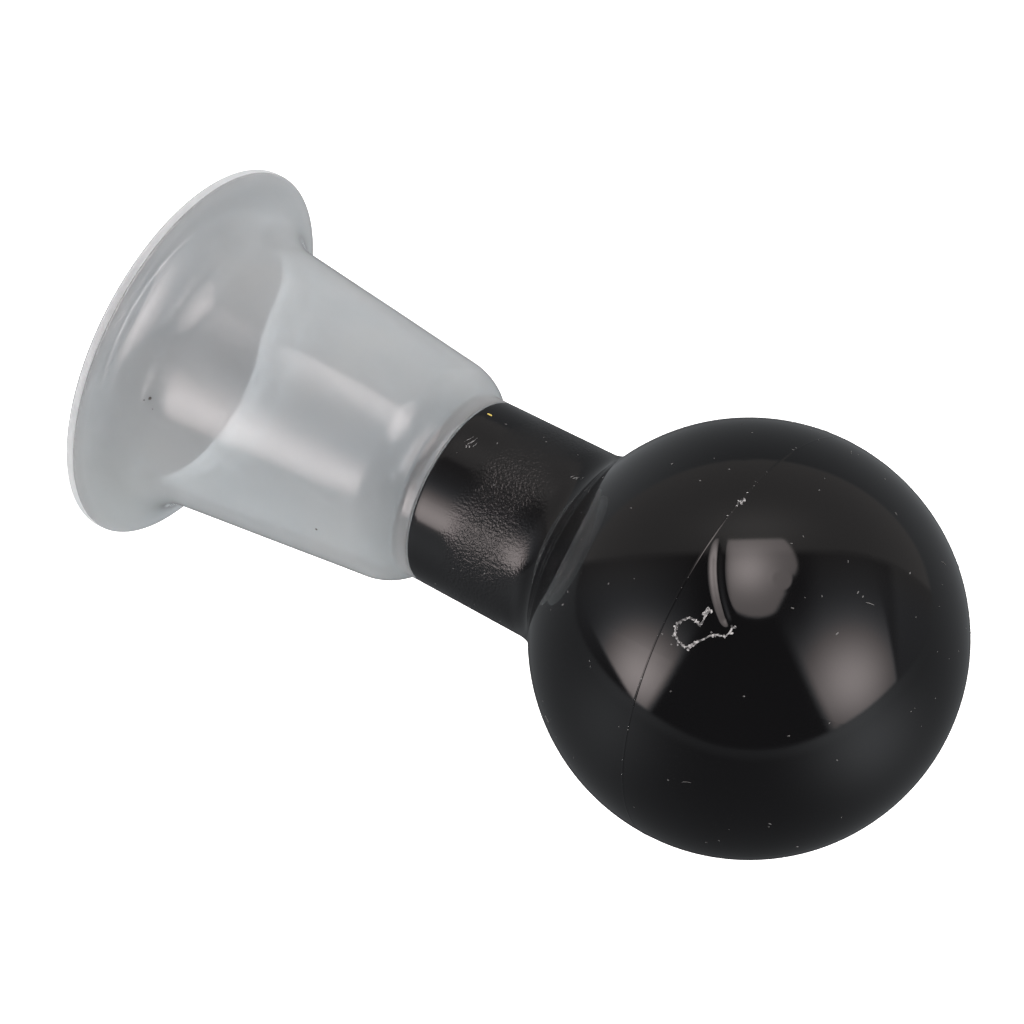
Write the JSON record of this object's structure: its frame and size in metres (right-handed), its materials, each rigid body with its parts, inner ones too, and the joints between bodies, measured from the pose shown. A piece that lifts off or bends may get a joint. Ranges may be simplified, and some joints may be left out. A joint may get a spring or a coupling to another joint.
{
  "type": "squeeze bulb with flared cup",
  "caption": "Hollow rubber ball with a short neck pushed onto a wide, flared, translucent cup; pressing the ball blows a puff of air, and letting it go draws suction.",
  "frame": {"origin": "centre of the flat face of the cup's rim, on which the object stands", "axes": "+Z along the axis of revolution, from the cup's mouth through the neck to the ball; X and Y are free, because the shape is round"},
  "size_m": [0.044, 0.044, 0.0922],
  "materials": {
    "cup_plastic": "translucent milky natural plastic, satin",
    "bulb_rubber": "black, polished on the ball and satin on the neck"
  },
  "bodies": {
    "cup": {"flared_cup": "cup_plastic"},
    "bulb": {"bulb_neck_half": "bulb_rubber"},
    "bulb_crown": {"bulb_crown_half": "bulb_rubber"}
  },
  "joints": [
    {"name": "neck_pull_off", "type": "slide", "parent": "cup", "child": "bulb", "axis": [0, 0, 1], "range_m": [0, 0.014]},
    {"name": "ball_squeeze", "type": "slide", "parent": "bulb", "child": "bulb_crown", "axis": [0, 0, -1], "range_m": [0, 0.016], "stiffness_N_per_m": 600, "deforming": ["bulb_crown_half"]}
  ]
}
